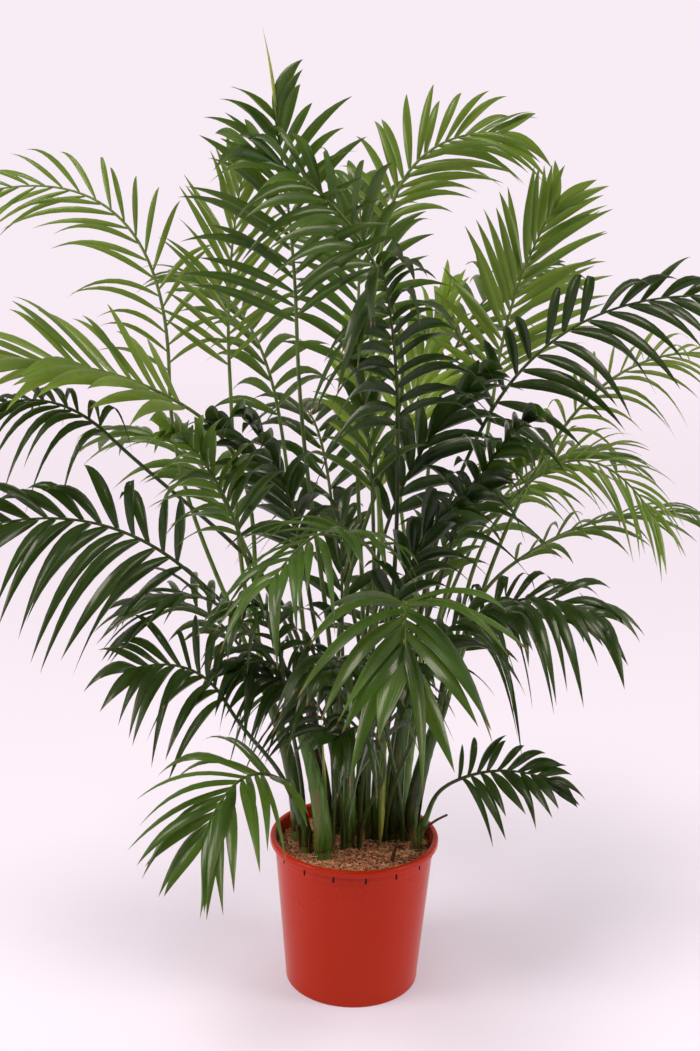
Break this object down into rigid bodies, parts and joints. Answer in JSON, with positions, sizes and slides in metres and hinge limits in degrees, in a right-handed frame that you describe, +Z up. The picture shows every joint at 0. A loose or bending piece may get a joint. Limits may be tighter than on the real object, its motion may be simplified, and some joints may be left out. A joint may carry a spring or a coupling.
{
  "type": "potted cat palm",
  "caption": "Clumping cat palm with arching feather fronds on short canes, standing in a tapered nursery pot filled with coir.",
  "frame": {"origin": "centre of the pot's flat underside, on the floor", "axes": "+Z up, +X to the right and +Y to the back as the plant is seen from its front"},
  "size_m": [1.5646, 1.2359, 1.6379],
  "materials": {
    "pot": "moulded terracotta-coloured plastic, satin",
    "soil": "loose coir and bark chips",
    "cane": "green cane with dry sheaths",
    "leaf_pale": "young leaf, satin",
    "leaf_mid": "leaf, satin",
    "leaf_dark": "old leaf, satin gloss"
  },
  "bodies": {
    "root": {"cane_a": "cane", "cane_b": "cane", "cane_c": "cane", "cane_d": "cane", "cane_e": "cane", "cane_f": "cane", "cane_g": "cane", "cane_h": "cane", "cane_i": "cane", "cane_j": "cane", "frond_back_centre": "leaf_pale", "frond_back_inner": "leaf_pale", "frond_back_left_high": "leaf_mid", "frond_back_left_low": "leaf_dark", "frond_back_left_mid": "leaf_mid", "frond_back_low": "leaf_dark", "frond_back_low_stalk": "leaf_dark", "frond_back_mid": "leaf_dark", "frond_back_right_high": "leaf_mid", "frond_back_right_low": "leaf_dark", "frond_back_right_low_stalk": "leaf_dark", "frond_back_right_mid": "leaf_mid", "frond_back_top": "leaf_mid", "frond_centre_left": "leaf_dark", "frond_centre_right": "leaf_mid", "frond_front_left": "leaf_dark", "frond_front_left_stalk": "leaf_dark", "frond_front_right": "leaf_mid", "frond_front_right_stalk": "leaf_mid", "frond_left_bright": "leaf_pale", "frond_left_dark": "leaf_dark", "frond_left_high": "leaf_pale", "frond_left_inner": "leaf_mid", "frond_left_mid": "leaf_dark", "frond_left_mid_stalk": "leaf_dark", "frond_left_slim": "leaf_mid", "frond_left_small": "leaf_dark", "frond_low_front": "leaf_mid", "frond_low_front_stalk": "leaf_mid", "frond_low_inner": "leaf_mid", "frond_low_left": "leaf_dark", "frond_low_right": "leaf_dark", "frond_right_arch": "leaf_pale", "frond_right_arch_stalk": "leaf_pale", "frond_right_dark": "leaf_dark", "frond_right_far": "leaf_pale", "frond_right_high": "leaf_pale", "frond_right_inner": "leaf_dark", "frond_right_low": "leaf_dark", "frond_right_mid": "leaf_mid", "frond_top_left": "leaf_mid", "frond_top_right": "leaf_mid", "pot": "pot", "shoot_left": "cane", "shoot_right": "cane", "soil": "soil"}
  },
  "joints": []
}
